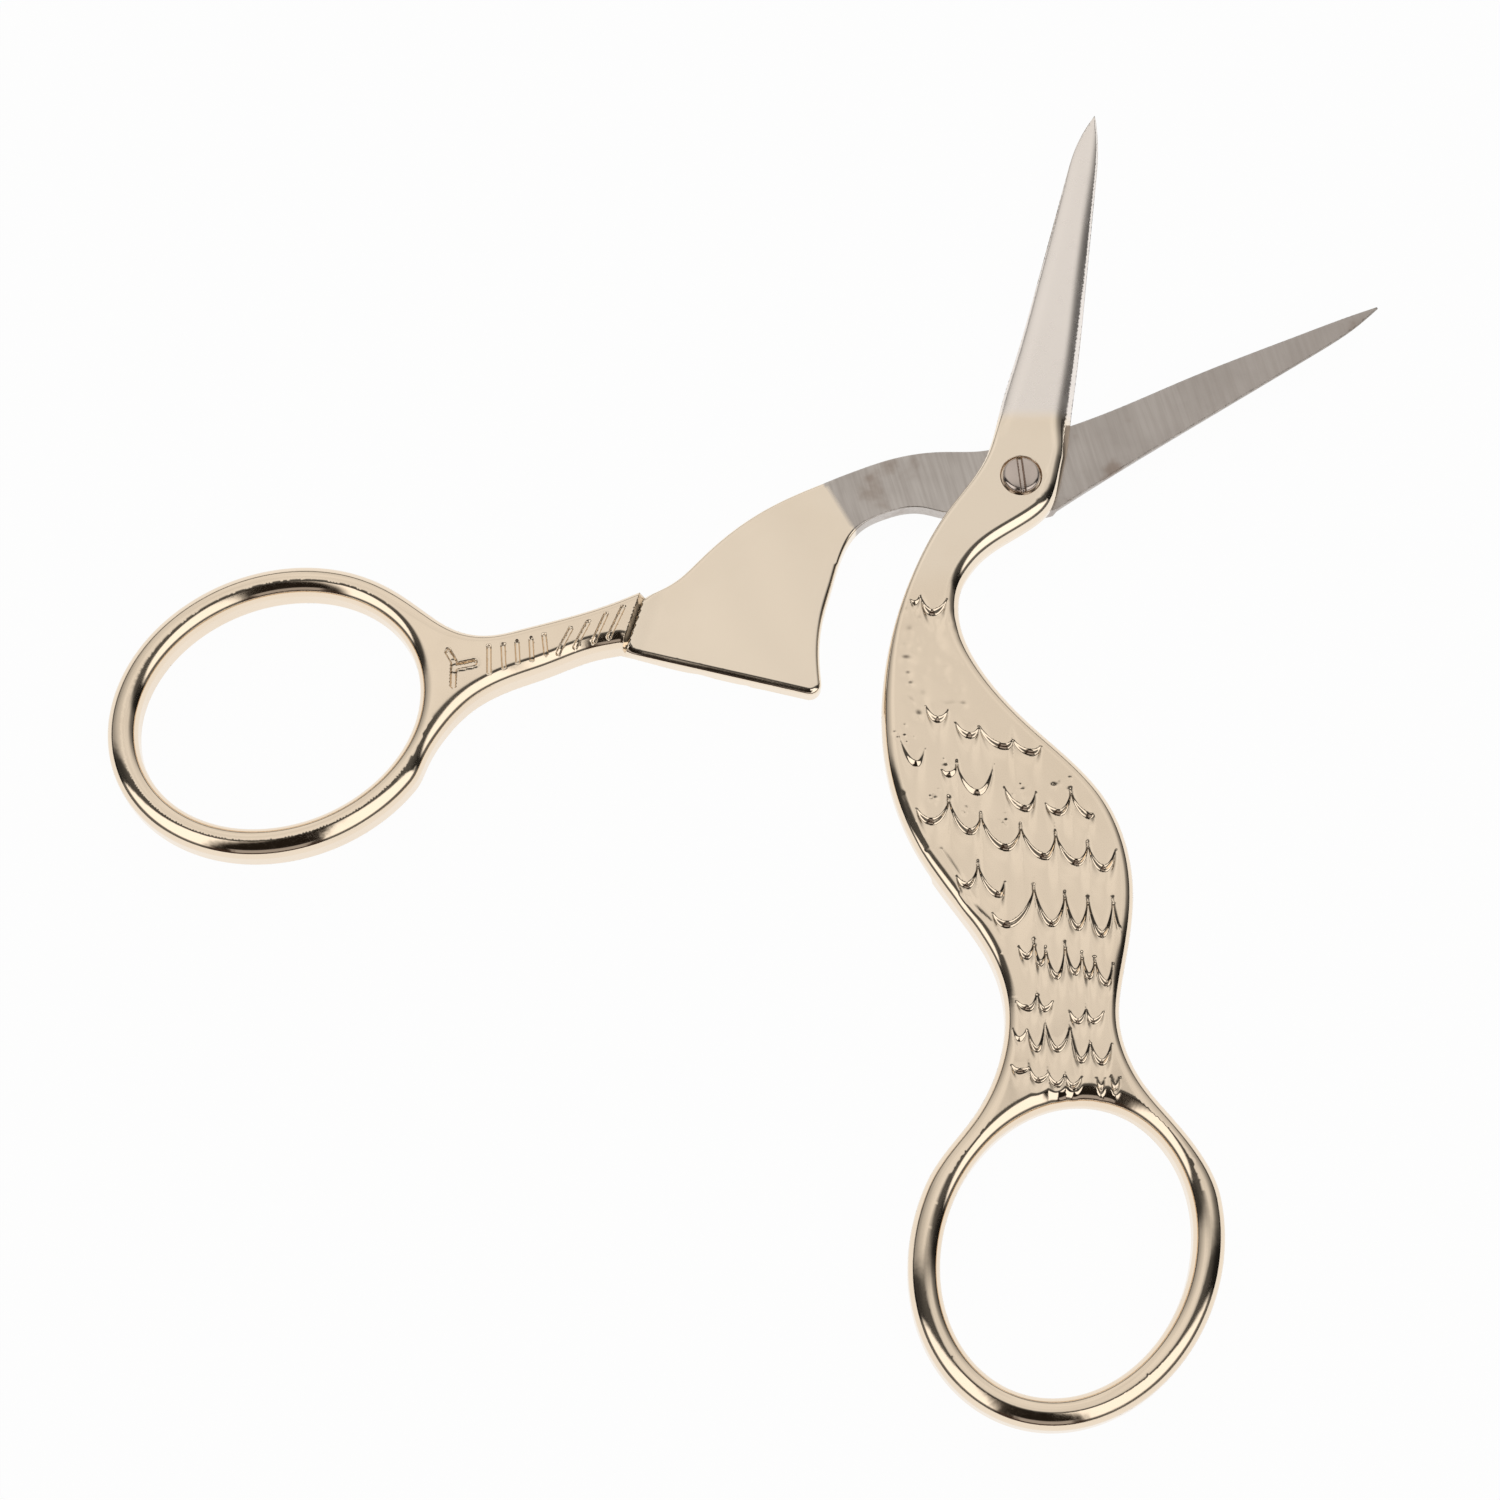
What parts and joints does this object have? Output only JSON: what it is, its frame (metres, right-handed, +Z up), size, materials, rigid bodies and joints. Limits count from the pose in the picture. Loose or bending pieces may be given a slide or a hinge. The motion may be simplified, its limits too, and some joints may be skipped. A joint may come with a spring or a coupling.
{
  "type": "stork embroidery scissors",
  "caption": "Small embroidery scissors shaped as a stork: fine pointed blades for the beak, feathered body and leg handles ending in oval finger rings.",
  "frame": {"origin": "on the table, under the axis of the pivot screw", "axes": "+Z up along the pivot axis from the lower blade to the upper one; +Y roughly towards the points of the half-open blades; +X to the right as pictured"},
  "size_m": [0.1089, 0.1156, 0.0046],
  "materials": {
    "gold_front": "light gold plate over steel, bare satin steel on the blade",
    "gold_rear": "light gold plate over steel, ground steel on the blade and neck",
    "screw_steel": "polished steel screw head"
  },
  "bodies": {
    "front_half": {"front_half": "gold_front"},
    "rear_half": {"rear_half": "gold_rear", "pivot_screw": "screw_steel"}
  },
  "joints": [
    {"name": "pivot", "type": "hinge", "parent": "front_half", "child": "rear_half", "pos_m": [0, 0, 0.002], "axis": [0, 0, -1], "range_deg": [-50.3, 99]}
  ]
}
